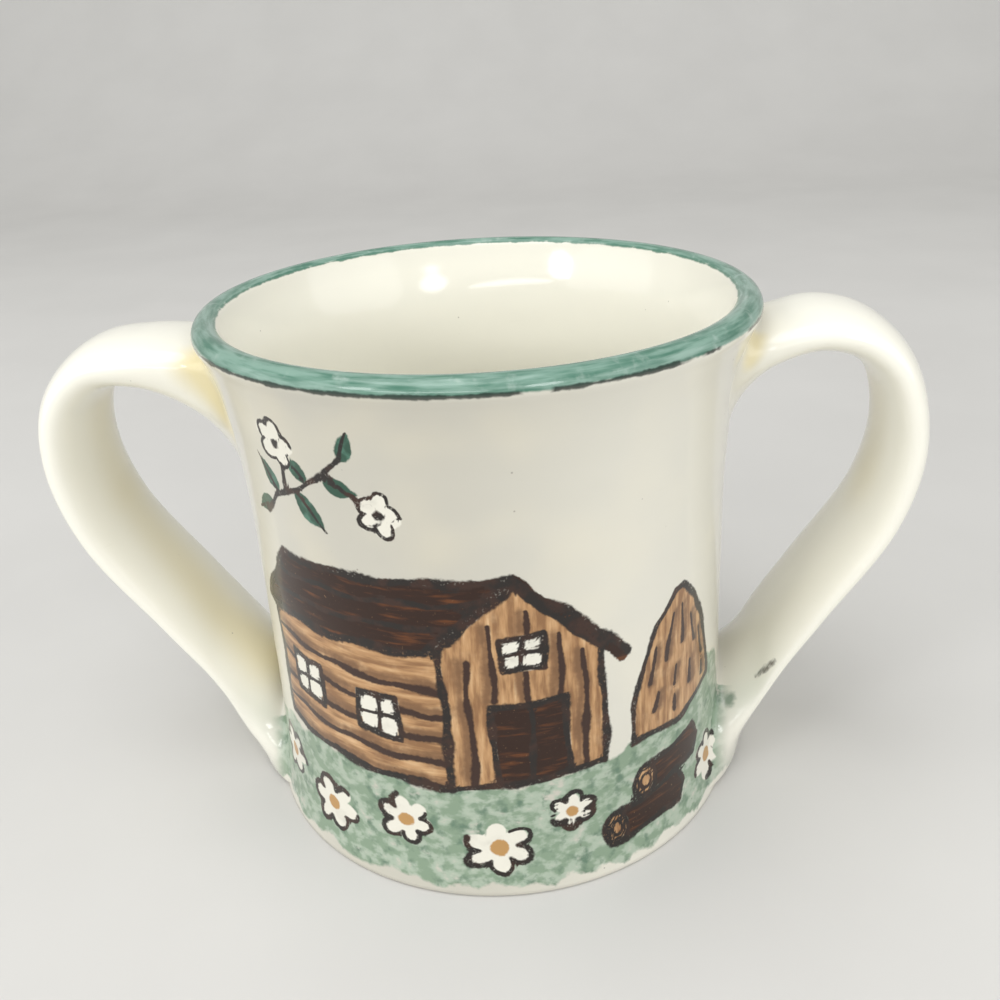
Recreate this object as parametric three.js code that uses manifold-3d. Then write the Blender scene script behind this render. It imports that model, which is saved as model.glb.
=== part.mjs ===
// Two-handled cup: a thrown stoneware body with a flared lip and a flat foot, and two pulled
// strap handles luted to its wall. Millimetres, +Z up, origin at the centre of the foot,
// handles along X, with the +X handle on the right when the decorated front (-Y) is seen.

import * as THREE from 'three';
import * as BufferGeometryUtils from 'three/addons/utils/BufferGeometryUtils.js';
import Module from 'manifold-3d';

const wasm = await Module();
wasm.setup();

// Driving dimensions of the body
const CUP_HEIGHT = 88;
const FOOT_RADIUS = 42.6;
const FOOT_BEVEL = 0.4;
const WAIST_RADIUS = 40.2;
const LIP_RADIUS = 44.5;
const LIP_THICKNESS = 4.4;
const WALL_THICKNESS = 4.6;
const FLOOR_THICKNESS = 6.5;
const FLOOR_CORNER_RADIUS = 9;
const BODY_SEGMENTS = 72;
const WALL_STEPS = 14;
const LIP_STEPS = 6;
const CORNER_STEPS = 5;

// Outside of the wall from foot to lip, as shares of the height and steps out from the waist
const WALL_SHAPE = [
  [0.04, 1.9],
  [0.10, 1.1],
  [0.20, 0.5],
  [0.35, 0.2],
  [0.52, 0.0],
  [0.66, 0.0],
  [0.80, 0.7],
  [0.90, 2.0],
];

// Driving dimensions shared by the handles
const STRAP_ROUNDNESS = 2.15;
const STRAP_END_THICKNESS = 3.2;
const SLIP_GAP = 0.3;
const UPPER_SIDE_FILLET = 6;
const UPPER_TOP_FILLET = 2;
const LOWER_SIDE_FILLET = 8;
const CROTCH_FILLET = 6;
const TOE_BEVEL = 0.9;
const HANDLE_STEPS = 44;
const HANDLE_CROWDING = 0.1;
const HANDLE_SIDES = 24;

// Each strap's own thickness, widths from top to bottom, fillet under its upper joint, depth of
// the clay that fills the crotch of its lower joint, and middle line from the upper joint to the
// toe as distances out and heights
const LEFT_STRAP = {
  thickness: 8.0,
  widths: [20.4, 23.0, 27.4],
  underFillet: 22,
  crotchFill: 4.0,
  line: [
    [34.0, 77.4],
    [48.0, 78.7],
    [56.6, 79.0],
    [63.9, 77.8],
    [69.6, 72.0],
    [71.7, 61.3],
    [68.5, 48.1],
    [57.5, 31.0],
    [49.6, 18.6],
    [47.2, 8.2],
    [45.0, 0.8],
  ],
};
const RIGHT_STRAP = {
  thickness: 7.0,
  widths: [19.6, 22.6, 27.0],
  underFillet: 9.5,
  crotchFill: 2.6,
  line: [
    [34.0, 75.0],
    [46.6, 79.0],
    [53.8, 80.6],
    [60.4, 79.0],
    [65.7, 73.6],
    [68.4, 61.8],
    [65.8, 49.1],
    [55.8, 32.3],
    [48.9, 20.6],
    [44.6, 9.2],
    [43.5, 0.8],
  ],
};

const glaze = (color) => new THREE.MeshStandardMaterial({ color, roughness: 0.22, metalness: 0 });

// Outer profile of the body, from the foot's edge to the outer edge of the lip
function wallCurve() {
  const points = [new THREE.Vector2(FOOT_RADIUS, FOOT_BEVEL)];
  for (const [share, step] of WALL_SHAPE) {
    points.push(new THREE.Vector2(WAIST_RADIUS + step, share * CUP_HEIGHT));
  }
  points.push(new THREE.Vector2(LIP_RADIUS, CUP_HEIGHT - LIP_THICKNESS / 2));
  return new THREE.SplineCurve(points);
}

const wallPoints = wallCurve().getPoints(WALL_STEPS);

// Radius of the wall's outside at a height
function wallRadius(z) {
  for (let i = 1; i < wallPoints.length; i++) {
    const low = wallPoints[i - 1];
    const high = wallPoints[i];
    if (z <= high.y) {
      const share = THREE.MathUtils.clamp((z - low.y) / (high.y - low.y), 0, 1);
      return THREE.MathUtils.lerp(low.x, high.x, share);
    }
  }
  return LIP_RADIUS;
}

function arc(centreX, centreY, radius, from, to, steps) {
  const points = [];
  for (let i = 0; i <= steps; i++) {
    const angle = from + (to - from) * (i / steps);
    points.push(new THREE.Vector2(centreX + radius * Math.cos(angle), centreY + radius * Math.sin(angle)));
  }
  return points;
}

// Closed half section of the body: foot, wall, rounded lip, inside wall, rounded corner, floor
function bodyProfile() {
  const lipCentre = LIP_RADIUS - LIP_THICKNESS / 2;
  const lip = arc(lipCentre, CUP_HEIGHT - LIP_THICKNESS / 2, LIP_THICKNESS / 2, 0, Math.PI, LIP_STEPS);
  const outside = wallPoints.slice(0, -1);
  const cornerHeight = FLOOR_THICKNESS + FLOOR_CORNER_RADIUS;
  const inside = [];
  for (const point of wallPoints.slice(0, -1).reverse()) {
    if (point.y > cornerHeight && point.y < CUP_HEIGHT - LIP_THICKNESS) {
      const depth = (CUP_HEIGHT - point.y) / CUP_HEIGHT;
      const thickness = THREE.MathUtils.lerp(LIP_THICKNESS, WALL_THICKNESS, Math.min(1, depth * 4));
      inside.push(new THREE.Vector2(point.x - thickness, point.y));
    }
  }
  const cornerRadius = wallRadius(cornerHeight) - WALL_THICKNESS - FLOOR_CORNER_RADIUS;
  const corner = arc(cornerRadius, cornerHeight, FLOOR_CORNER_RADIUS, 0, -Math.PI / 2, CORNER_STEPS);
  return [
    new THREE.Vector2(0, 0),
    new THREE.Vector2(FOOT_RADIUS - FOOT_BEVEL, 0),
    ...outside,
    ...lip,
    ...inside,
    ...corner,
    new THREE.Vector2(0, FLOOR_THICKNESS),
  ];
}

// A lathe turns about Y, so the result is stood up along Z
function revolve(profile, segments) {
  const geometry = new THREE.LatheGeometry(profile, segments);
  geometry.rotateX(Math.PI / 2);
  return geometry;
}

function toSolid(geometry) {
  const bare = geometry.clone();
  bare.deleteAttribute('normal');
  bare.deleteAttribute('uv');
  const merged = BufferGeometryUtils.mergeVertices(bare, 1e-4);
  return new wasm.Manifold(new wasm.Mesh({
    numProp: 3,
    vertProperties: merged.getAttribute('position').array,
    triVerts: new Uint32Array(merged.getIndex().array),
  }));
}

function toGeometry(solid) {
  const mesh = solid.getMesh();
  const geometry = new THREE.BufferGeometry();
  geometry.setAttribute('position', new THREE.BufferAttribute(mesh.vertProperties, 3));
  geometry.setIndex(new THREE.BufferAttribute(mesh.triVerts, 1));
  geometry.computeVertexNormals();
  return geometry;
}

// The space that the body and its layer of slip take, cut out of each strap's ends
function bodyEnvelope() {
  const outside = wallPoints.map((point) => new THREE.Vector2(point.x + SLIP_GAP, point.y));
  return toSolid(revolve([
    new THREE.Vector2(0, -CUP_HEIGHT),
    new THREE.Vector2(FOOT_RADIUS + SLIP_GAP, -CUP_HEIGHT),
    ...outside,
    new THREE.Vector2(LIP_RADIUS + SLIP_GAP, 2 * CUP_HEIGHT),
    new THREE.Vector2(0, 2 * CUP_HEIGHT),
  ], BODY_SEGMENTS));
}

// Strap width along its length: it spreads towards the lower joint
function strapWidth(strap, u) {
  const [top, middle, bottom] = strap.widths;
  return u < 0.5
    ? THREE.MathUtils.lerp(top, middle, u / 0.5)
    : THREE.MathUtils.lerp(middle, bottom, (u - 0.5) / 0.5);
}

// Strap thickness along its length: even over the arch, then thinned down to the wiped end
function strapThickness(strap, u) {
  const thinned = THREE.MathUtils.clamp((u - 0.5) / 0.5, 0, 1);
  return THREE.MathUtils.lerp(strap.thickness, STRAP_END_THICKNESS, thinned);
}

// How far a point near the wall is spread along it, so the strap runs into the wall in a fillet
function filletSpread(distance, radius) {
  const near = THREE.MathUtils.clamp(distance, 0, radius);
  return radius - Math.sqrt(radius * radius - (radius - near) ** 2);
}

// How far a point of the lower end is drawn in, so that the end bends round the wall
function wrapLowerJoint(sideways, radius, u) {
  return THREE.MathUtils.smoothstep(u, 0.78, 1) * (radius - Math.sqrt(radius * radius - sideways * sideways));
}

// Depth of the clay in the crotch, deepest on the inner face where it lies near the wall
function crotchDepth(strap, gap, through, u) {
  const near = 1 - THREE.MathUtils.smoothstep(gap, strap.crotchFill, 3 * strap.crotchFill);
  return (strap.crotchFill * near * (1 - through) * THREE.MathUtils.smoothstep(u, 0.55, 0.62)) / 2;
}

// Sections stand closer together near the joints, where the shape turns fastest
function stationAt(share) {
  return share - HANDLE_CROWDING * Math.sin(2 * Math.PI * share);
}

// A point of the strap's skin. Near the wall it is spread along the wall, so that the strap runs
// into it in fillets: beside both joints, in a long tongue under the arch and up in the crotch
function strapPoint(strap, line, u, angle) {
  const tangent = line.getTangent(u);
  const middle = line.getPoint(u);
  const power = 2 / STRAP_ROUNDNESS;
  const across = Math.sign(Math.sin(angle)) * Math.abs(Math.sin(angle)) ** power;
  const through = Math.sign(Math.cos(angle)) * Math.abs(Math.cos(angle)) ** power;
  const half = strapThickness(strap, u) / 2;
  const height = middle.z + tangent.x * through * half;
  const sideways = (across * strapWidth(strap, u)) / 2;
  const radius = wallRadius(height);
  const out = middle.x - tangent.z * through * half - wrapLowerJoint(sideways, radius, u);
  const open = Math.hypot(out, sideways) - radius;
  const gap = open - crotchDepth(strap, open, through, u);

  const upper = u < 0.5;
  const outer = upper ? UPPER_TOP_FILLET : 0;
  const inner = upper ? strap.underFillet : CROTCH_FILLET;
  const level = Math.sqrt(1 - across * across) * Math.sign(through) * (upper ? 1 : -1);
  const spread = height + level * filletSpread(gap, through > 0 ? outer : inner);
  const toe = THREE.MathUtils.clamp(middle.z - strap.line[strap.line.length - 1][1], 0, TOE_BEVEL);
  const reach = wallRadius(spread) + gap - filletSpread(toe, TOE_BEVEL);
  const beside = filletSpread(gap, upper ? UPPER_SIDE_FILLET : LOWER_SIDE_FILLET);
  const turn = Math.atan2(sideways, out) + (across * beside) / reach;
  return new THREE.Vector3(reach * Math.cos(turn), reach * Math.sin(turn), spread);
}

// Closed strap solid swept along its middle line, before the body is cut out of it
function strapGeometry(strap) {
  const line = new THREE.CatmullRomCurve3(
    strap.line.map(([out, height]) => new THREE.Vector3(out, 0, height)), false, 'centripetal');
  const positions = [];
  const triangles = [];
  for (let i = 0; i <= HANDLE_STEPS; i++) {
    for (let j = 0; j < HANDLE_SIDES; j++) {
      const angle = (2 * Math.PI * j) / HANDLE_SIDES;
      positions.push(...strapPoint(strap, line, stationAt(i / HANDLE_STEPS), angle).toArray());
    }
  }
  for (let i = 0; i < HANDLE_STEPS; i++) {
    for (let j = 0; j < HANDLE_SIDES; j++) {
      const next = (j + 1) % HANDLE_SIDES;
      const [a, b] = [i * HANDLE_SIDES + j, i * HANDLE_SIDES + next];
      const [c, d] = [a + HANDLE_SIDES, b + HANDLE_SIDES];
      triangles.push(a, c, b, b, c, d);
    }
  }
  const last = HANDLE_STEPS * HANDLE_SIDES;
  for (let j = 1; j < HANDLE_SIDES - 1; j++) {
    triangles.push(0, j, j + 1);
    triangles.push(last, last + j + 1, last + j);
  }
  const geometry = new THREE.BufferGeometry();
  geometry.setAttribute('position', new THREE.Float32BufferAttribute(positions, 3));
  geometry.setIndex(triangles);
  return geometry;
}

function makeBody() {
  const body = new THREE.Mesh(revolve(bodyProfile(), BODY_SEGMENTS), glaze(0xdedacb));
  body.name = 'cup_body';
  return body;
}

function makeHandle(name, strap, turn, envelope) {
  const swept = strapGeometry(strap).rotateZ(turn);
  const handle = new THREE.Mesh(toGeometry(toSolid(swept).subtract(envelope)), glaze(0xe8e4d0));
  handle.name = name;
  return handle;
}

const cup = new THREE.Group();
const envelope = bodyEnvelope();
cup.add(makeBody());
cup.add(makeHandle('left_handle', LEFT_STRAP, Math.PI, envelope));
cup.add(makeHandle('right_handle', RIGHT_STRAP, 0, envelope));

export default cup;
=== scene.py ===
"""Two-handled cup, thrown and painted under a clear glaze, built around its CAD frame.

The body is a turned profile with a slightly tilted, hand-thrown rim. Each handle is a pulled
strap that runs into the wall in a soft fillet. The farmyard painting is kept as fields of
distances in millimetres on the meshes, and the glaze materials turn them into brush work."""

import math
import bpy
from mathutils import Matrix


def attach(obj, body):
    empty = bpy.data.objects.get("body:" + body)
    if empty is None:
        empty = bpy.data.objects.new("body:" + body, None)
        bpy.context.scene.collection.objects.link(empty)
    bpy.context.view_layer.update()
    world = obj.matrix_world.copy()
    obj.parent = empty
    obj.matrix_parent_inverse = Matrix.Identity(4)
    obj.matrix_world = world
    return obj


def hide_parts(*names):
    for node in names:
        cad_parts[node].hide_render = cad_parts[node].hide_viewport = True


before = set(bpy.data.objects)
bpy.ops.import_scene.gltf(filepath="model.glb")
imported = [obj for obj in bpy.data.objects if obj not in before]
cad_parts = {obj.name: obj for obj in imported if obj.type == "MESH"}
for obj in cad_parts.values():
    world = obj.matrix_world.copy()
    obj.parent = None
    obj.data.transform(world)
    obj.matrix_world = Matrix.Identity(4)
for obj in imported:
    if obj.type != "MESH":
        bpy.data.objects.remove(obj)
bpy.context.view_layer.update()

from types import SimpleNamespace

import bpy
import numpy as np
from bpy.props import FloatProperty, FloatVectorProperty, IntProperty, PointerProperty
from mathutils import Matrix, Vector

bl_info = {
    "name": "Two-handled cup",
    "version": (1, 0, 0),
    "blender": (4, 5, 0),
    "location": "3D View > Sidebar > Cup",
    "description": "Builds a thrown, painted and glazed cup with two strap handles",
    "category": "Object",
}

MM = 0.001

# Outside of the wall, as shares of the height and steps out from the waist in millimetres
WALL_SHAPE = (
    (0.04, 1.9), (0.10, 1.1), (0.20, 0.5), (0.35, 0.2), (0.52, 0.0), (0.66, 0.0), (0.80, 0.7),
    (0.90, 2.0),
)

# Middle lines of the straps, distances out and heights in millimetres
LEFT_LINE = (
    (34.0, 77.4), (48.0, 78.7), (56.6, 79.0), (63.9, 77.8), (69.6, 72.0), (71.65, 61.3),
    (68.5, 48.1), (57.5, 31.0), (49.6, 18.6), (47.2, 8.2), (45.0, 0.8),
)
RIGHT_LINE = (
    (34.0, 75.0), (46.6, 79.0), (53.8, 80.6), (60.4, 79.0), (65.7, 73.6), (68.4, 61.8),
    (65.8, 49.1), (55.8, 32.3), (48.9, 20.6), (44.6, 9.2), (43.5, 0.8),
)

# Shares of the height between which the rim's drop, tilt and stretch grow, and the two rows of the
# stretch, which pulls the rim out along one diagonal and in along the other
RIM_ONSET = (0.84, 0.97)
RIM_WAYS = ((0.6, -0.8, 0.0), (-0.8, -0.6, 0.0))

# Throwing rings change fast with height and slowly round the wall. They start just above the foot
RING_SQUEEZE = (0.12, 0.12, 1.0)
RING_ONSET = (0.02, 0.12)

# How square a strap's section is, how thick its lower end is and how late it thins
STRAP_ROUNDNESS = 2.15
STRAP_END_THICKNESS = 3.2
THINNING = 1.4

# Radii over the upper joints and under the toe
TOP_FILLET = 2.0
TOE_ROUNDING = 0.9

# How deep in the wall a strap's skin and its fillets start, and how its rows crowd there
END_DEPTH = 1.2
FEATHER = 0.12
FEATHER_CROWDING = 0.06

# Rows of points along a strap and points round it. The first rows are found by trial
STRAP_STATIONS = 210
STRAP_SIDES = 96
STATION_CROWDING = 0.1
TRIAL_SHARE = 0.4
TRIAL_STATIONS = 4000
LAST_SHARE = 0.9995

# Shares of a strap's length between which its end bends round the wall, and clay fills the crotch
BEND_ONSET = (0.78, 1.0)
FILL_ONSET = (0.55, 0.62)

# Rings of the turned profile, in numbers of rings or in millimetres between them
WALL_POINTS = 900
FOOT_RINGS = 12
PAINTED_RING_GAP = 0.62
PLAIN_RING_GAP = 0.95
INSIDE_RING_GAP = 1.7
PAINTED_HEIGHT = 52.0
LIP_START_ANGLE = -18
LIP_END_ANGLE = 155
LIP_RINGS = 18
CORNER_RINGS = 9
FLOOR_RING_GAP = 4.5

# Radius of the circle that the profile is turned along
RAIL_RADIUS = 30.0

# Radius that turns an angle round the wall into a length along the painting, and how far from its
# edge a painted area's distances are kept
ARC_RADIUS = 41.0
FAR = 4.0

# Heights above the wall over which the wash fades and the handles' paler cream sets in, partly painted
# light
WASH_FADE = 3.0
PALE_REACH = 6.0

# Where the wall is painted darkest, as painted shade in the middle of the front, the lengths over which
# it turns paler beside it as painted light, and how pale
SHADED_PLACE = -12.0
SHADED_REACH = (6.0, 44.0)
WALL_PALENESS = 0.5


def linear(hex_colour):
    """Linear RGB of an sRGB hex colour."""
    parts = [int(hex_colour[i:i + 2], 16) / 255 for i in (1, 3, 5)]
    return tuple(c / 12.92 if c <= 0.04045 else ((c + 0.055) / 1.055) ** 2.4 for c in parts)


def length(description, default):
    """A length property, given in millimetres and kept in metres."""
    return FloatProperty(
        description=description, default=default * MM, min=0.0, precision=4, subtype="DISTANCE",
        unit="LENGTH")


def colour(description, default):
    """A colour property, given as an sRGB hex value and kept linear."""
    return FloatVectorProperty(
        description=description, default=linear(default), size=3, min=0.0, max=1.0,
        subtype="COLOR")


def power(description, default):
    """A lamp's power in watts."""
    return FloatProperty(
        description=description, default=default, min=0.0, subtype="POWER", unit="POWER")


class CupSizes(bpy.types.PropertyGroup):
    """Sizes of the thrown body."""

    height: length("From the foot to the top of the lip", 88.0)
    foot_radius: length("Radius of the flat foot", 42.6)
    foot_bevel: length("Bevel round the foot", 0.4)
    waist_radius: length("Smallest radius of the wall's outside", 40.2)
    lip_radius: length("Largest radius of the lip", 44.5)
    lip_thickness: length("Thickness of the rounded lip", 4.4)
    wall_thickness: length("Thickness of the wall below the lip", 4.6)
    floor_thickness: length("Thickness of the floor", 6.5)
    corner_radius: length("Radius between floor and wall inside", 9.0)
    rim_drop: length("How far the rim lies lower than planned, on average", 0.55)
    rim_tilt: length("Height of the front of the rim above its middle", 0.5)
    rim_stretch: length("How far the rim is out of round", 0.3)
    ring_depth: length("Depth of the throwing rings in the wall", 0.16)
    ring_gap: length("Height between throwing rings", 5.0)
    segments: IntProperty(description="Points round the turned body", default=480, min=48)


class StrapSizes(bpy.types.PropertyGroup):
    """Sizes of the two pulled straps."""

    left_thickness: length("Thickness of the left strap over the arch", 8.0)
    left_top: length("Width of the left strap at the lip", 20.4)
    left_middle: length("Width of the left strap half way", 23.0)
    left_bottom: length("Width of the left strap at the foot", 27.4)
    left_fillet: length("Fillet under the left upper joint", 22.0)
    left_fill: length("Clay added between the left lower end and the wall", 4.0)
    right_thickness: length("Thickness of the right strap over the arch", 7.0)
    right_top: length("Width of the right strap at the lip", 19.6)
    right_middle: length("Width of the right strap half way", 22.6)
    right_bottom: length("Width of the right strap at the foot", 27.0)
    right_fillet: length("Fillet under the right upper joint", 9.5)
    right_fill: length("Clay added between the right lower end and the wall", 2.6)
    upper_side: length("Fillet beside the upper joints", 6.0)
    lower_side: length("Fillet beside the lower joints", 8.0)
    crotch_fillet: length("Fillet where the inner face meets the wall", 6.0)


class GlazeColours(bpy.types.PropertyGroup):
    """Colours of slip, glaze and painting."""

    wall: colour("Cream slip on the wall", "#C5C2B6")
    wall_warm: colour("Thicker, warmer patches of the wall", "#CFCAB9")
    # Paler inside as painted light, for the light that falls into the cup
    inside: colour("Cream glaze inside, where it lies thicker", "#ECEADD")
    # Paler than the wall's cream, partly painted light on the straps
    handle: colour("Cream glaze on the handles", "#F3F1E5")
    # Also painted shade, warm and darker, on the straps' inner faces
    pooled: colour("Yellow glaze that has run into the joints", "#E3D7AC")
    wall_shade: colour("Faint turning lines", "#B9B29C")
    rim: colour("Green band on the lip", "#82A294")
    rim_light: colour("Where the band lies thin", "#ABBCB3")
    rim_dark: colour("Where the green band lies thick", "#4D7967")
    # Partly painted shadow under the lip's bead
    rim_line_and_shadow: colour("Thick line along the band's lower edge", "#17271F")
    meadow_light: colour("Thin green wash", "#AAB8A6")
    meadow: colour("Green wash", "#869B84")
    meadow_dark: colour("Thick green wash", "#647E6A")
    timber: colour("Tan wash of the boards", "#BA9064")
    timber_dark: colour("Thick streaks of the tan wash", "#8D6744")
    timber_light: colour("Thin streaks of the tan wash", "#DDBA8F")
    timber_shade: colour("Wash gathered beside the seams", "#7B5A3D")
    heart: colour("Middles of the flowers", "#B98F58")
    seam: colour("Brown line between two boards", "#38231A")
    brown: colour("Roof, door and logs", "#2B1305")
    brown_rubbed: colour("Where the dark brown lies thin", "#6A3A14")
    charcoal: colour("Drawn outlines", "#211B18")
    leaf: colour("Dark green leaves", "#2C5040")
    petal: colour("White slip left bare for the petals", "#E6E3D6")
    clay: colour("Unglazed clay under the foot", "#C8AE88")
    clay_light: colour("Paler patches of the bare clay", "#D8C3A2")


class StudioLight(bpy.types.PropertyGroup):
    """Strength of the studio lights."""

    overhead: power("Large panel overhead", 4.0)
    front: power("Wide, low panel in front", 1.6)
    window: power("Each small panel in front", 1.3)
    left: power("Large panel on the left", 2.0)
    right: power("Large panel on the right", 2.4)
    room: FloatProperty(description="Even light from all sides", default=0.64, min=0.0)


def millimetres(sizes):
    """A group's lengths in millimetres."""
    return SimpleNamespace(**{name: getattr(sizes, name) / MM for name in type(sizes).__annotations__})


# Turned body

def between(start, end, leaving, arriving, share):
    """Places on a smooth curve from start to end, which leaves and arrives with given slopes."""
    square = -3 * start + 3 * end - 2 * leaving - arriving
    cube = 2 * start - 2 * end + leaving + arriving
    return start + leaving * share + square * share ** 2 + cube * share ** 3


def uniform_spline(points, steps):
    """Places on a smooth curve through points, as many on each stretch."""
    points = np.array(points, float)
    shares = np.linspace(0, len(points) - 1, steps)
    first = np.minimum(shares.astype(int), len(points) - 2)
    p0, p1 = points[np.maximum(first - 1, 0)], points[first]
    p2, p3 = points[first + 1], points[np.minimum(first + 2, len(points) - 1)]
    return between(p1, p2, (p2 - p0) / 2, (p3 - p1) / 2, (shares - first)[:, None])


def wall_outline(mm):
    """Outside of the wall from the foot to the lip, radii and heights in millimetres."""
    points = [(mm.foot_radius, mm.foot_bevel)]
    points += [(mm.waist_radius + step, share * mm.height) for share, step in WALL_SHAPE]
    points.append((mm.lip_radius, mm.height - mm.lip_thickness / 2))
    return uniform_spline(points, WALL_POINTS)


def joint_outline(mm):
    """Outside of the wall at the two joints, where the rim's drop and stretch change it."""
    outline = wall_outline(mm)
    share = smooth_step(outline[:, 1] / mm.height, *RIM_ONSET)
    return outline + share[:, None] * (RIM_WAYS[0][0] * mm.rim_stretch, -mm.rim_drop)


def wall_radius(outline, heights):
    return np.interp(heights, outline[:, 1], outline[:, 0])


def oval(centre, across, up, start=0.0, end=360.0, count=25):
    """Points round an oval, or along a part of it between two angles in degrees."""
    turns = np.radians(np.linspace(start, end, count))
    return np.column_stack([centre[0] + across * np.cos(turns), centre[1] + up * np.sin(turns)])


def body_profile(mm):
    """Half section from the middle of the foot, up the outside, over the lip and down inside.

    Returns its points and the lengths along it at which the lip's arc starts and ends."""
    outline = wall_outline(mm)
    lip, wall, corner = mm.lip_thickness, mm.wall_thickness, mm.corner_radius
    under = [(radius, 0.0) for radius in np.linspace(0, mm.foot_radius - mm.foot_bevel, FOOT_RINGS)]
    painted = np.arange(outline[0, 1], PAINTED_HEIGHT, PAINTED_RING_GAP)
    plain = np.arange(PAINTED_HEIGHT, mm.height - lip / 2 - 1.0, PLAIN_RING_GAP)
    heights = np.concatenate([painted, plain])
    outside = np.column_stack([wall_radius(outline, heights), heights])
    lip_centre = (mm.lip_radius - lip / 2, mm.height - lip / 2)
    bead = oval(lip_centre, lip / 2, lip / 2, LIP_START_ANGLE, LIP_END_ANGLE, LIP_RINGS)
    corner_height = mm.floor_thickness + corner
    down = np.arange(mm.height - lip, corner_height + 1.0, -INSIDE_RING_GAP)
    thickness = lip + (wall - lip) * np.minimum(1, (mm.height - down) / mm.height * 4)
    inside = np.column_stack([wall_radius(outline, down) - thickness, down])
    corner_centre = (float(wall_radius(outline, corner_height)) - wall - corner, corner_height)
    turn = oval(corner_centre, corner, corner, 0, -90, CORNER_RINGS)
    floor_radii = np.arange(corner_centre[0] - FLOOR_RING_GAP, FLOOR_RING_GAP, -FLOOR_RING_GAP)
    floor = [(radius, mm.floor_thickness) for radius in [*floor_radii, 0.0]]
    points = np.vstack([under, outside, bead, inside, turn, floor])
    along = np.concatenate([[0], np.cumsum(np.hypot(*np.diff(points, axis=0).T))])
    lip_start = len(under) + len(outside)
    return points, along, (along[lip_start], along[lip_start + LIP_RINGS - 1])


# Kinds of node that come often
VECTORS = "ShaderNodeVectorMath"
JOIN = "ShaderNodeCombineXYZ"
RANGE = "ShaderNodeMapRange"
MIX = "ShaderNodeMix"
NOISE = "ShaderNodeTexNoise"


def add(tree, kind, *values, **settings):
    """Adds a node, sets its properties, and sets or links its inputs.

    A kind in capitals is what a maths node does. Values go to the inputs in order, or by name or
    number where they come in a dict. A node given as a value is linked by its first output."""
    made = tree.nodes.new("ShaderNodeMath" if kind.isupper() else kind)
    if kind.isupper():
        made.operation = kind
    for name, value in settings.items():
        setattr(made, name, value)
    given = {}
    for number, value in enumerate(values):
        given.update(value if isinstance(value, dict) else {number: value})
    for key, value in given.items():
        socket = made.inputs[key]
        if isinstance(value, bpy.types.Node):
            value = value.outputs[0]
        if isinstance(value, bpy.types.NodeSocket):
            tree.links.new(value, socket)
        else:
            socket.default_value = (*value, 1.0) if socket.type == "RGBA" else value
    return made


# What the turning takes from the sizes, under their own names
TURNING_SIZES = (
    "segments", "height", "lip_radius", "rim_drop", "rim_tilt", "rim_stretch", "ring_depth", "ring_gap")


def turning_tree(material):
    """Geometry nodes that turn a profile into a thrown body, with an uneven rim and rings."""
    tree = bpy.data.node_groups.new("thrown_body", "GeometryNodeTree")
    ports = tree.interface
    ports.new_socket("Geometry", in_out="INPUT", socket_type="NodeSocketGeometry")
    for name in TURNING_SIZES:
        kind = "NodeSocketInt" if name == "segments" else "NodeSocketFloat"
        ports.new_socket(name, in_out="INPUT", socket_type=kind)
    ports.new_socket("Geometry", in_out="OUTPUT", socket_type="NodeSocketGeometry")
    given = add(tree, "NodeGroupInput").outputs
    profile = add(tree, "GeometryNodeMeshToCurve", {"Mesh": given["Geometry"]})
    rail = add(tree, "GeometryNodeCurvePrimitiveCircle", {
        "Resolution": given["segments"], "Radius": RAIL_RADIUS * MM})
    turned = add(tree, "GeometryNodeCurveToMesh", {"Curve": rail, "Profile Curve": profile})
    closed = add(tree, "GeometryNodeMergeByDistance", {"Geometry": turned, "Distance": 0.01 * MM})

    place = add(tree, "GeometryNodeInputPosition")
    x, y, z = add(tree, "ShaderNodeSeparateXYZ", place).outputs
    flat = add(tree, JOIN, x, y)
    share = add(tree, "DIVIDE", z, given["height"])
    upper = add(tree, RANGE, share, *RIM_ONSET, interpolation_type="SMOOTHSTEP")

    # The rim leans to the front and lies a little low
    lean = add(tree, "DIVIDE", y, given["lip_radius"])
    lifted = add(tree, "MULTIPLY", lean, given["rim_tilt"])
    lowered = add(tree, "ADD", lifted, given["rim_drop"])
    sink = add(tree, "MULTIPLY", lowered, upper)
    down = add(tree, "MULTIPLY", sink, -1.0)

    # It is stretched along one diagonal and squeezed along the other
    ways = [add(tree, VECTORS, flat, way, operation="DOT_PRODUCT").outputs["Value"]
            for way in RIM_WAYS]
    strain = add(tree, "DIVIDE", given["rim_stretch"], given["lip_radius"])
    strain = add(tree, "MULTIPLY", strain, upper)
    stretched = add(tree, VECTORS, add(tree, JOIN, *ways), {"Scale": strain}, operation="SCALE")

    # Throwing rings push the wall in and out
    turns = add(tree, VECTORS, place, RING_SQUEEZE, operation="MULTIPLY")
    pitch = add(tree, "DIVIDE", 1.0, given["ring_gap"])
    rings = add(tree, NOISE, {"Vector": turns, "Scale": pitch, "Detail": 1.0})
    depth = add(tree, "SUBTRACT", rings, 0.5)
    depth = add(tree, "MULTIPLY", depth, given["ring_depth"])
    above_foot = add(tree, RANGE, share, *RING_ONSET, interpolation_type="SMOOTHSTEP")
    depth = add(tree, "MULTIPLY", depth, above_foot)
    outward = add(tree, VECTORS, flat, operation="NORMALIZE")
    pushed = add(tree, VECTORS, outward, {"Scale": depth}, operation="SCALE")

    moves = add(tree, VECTORS, stretched, pushed, operation="ADD")
    moves = add(tree, VECTORS, moves, add(tree, JOIN, {2: down}), operation="ADD")
    moved = add(tree, "GeometryNodeSetPosition", {"Geometry": closed, "Offset": moves})
    smooth = add(tree, "GeometryNodeSetShadeSmooth", {"Geometry": moved})
    glazed = add(tree, "GeometryNodeSetMaterial", {"Geometry": smooth, "Material": material})
    add(tree, "NodeGroupOutput", {"Geometry": glazed})
    return tree


def place_object(name, data):
    made = bpy.data.objects.new(name, data)
    bpy.context.scene.collection.objects.link(made)
    return made


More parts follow.
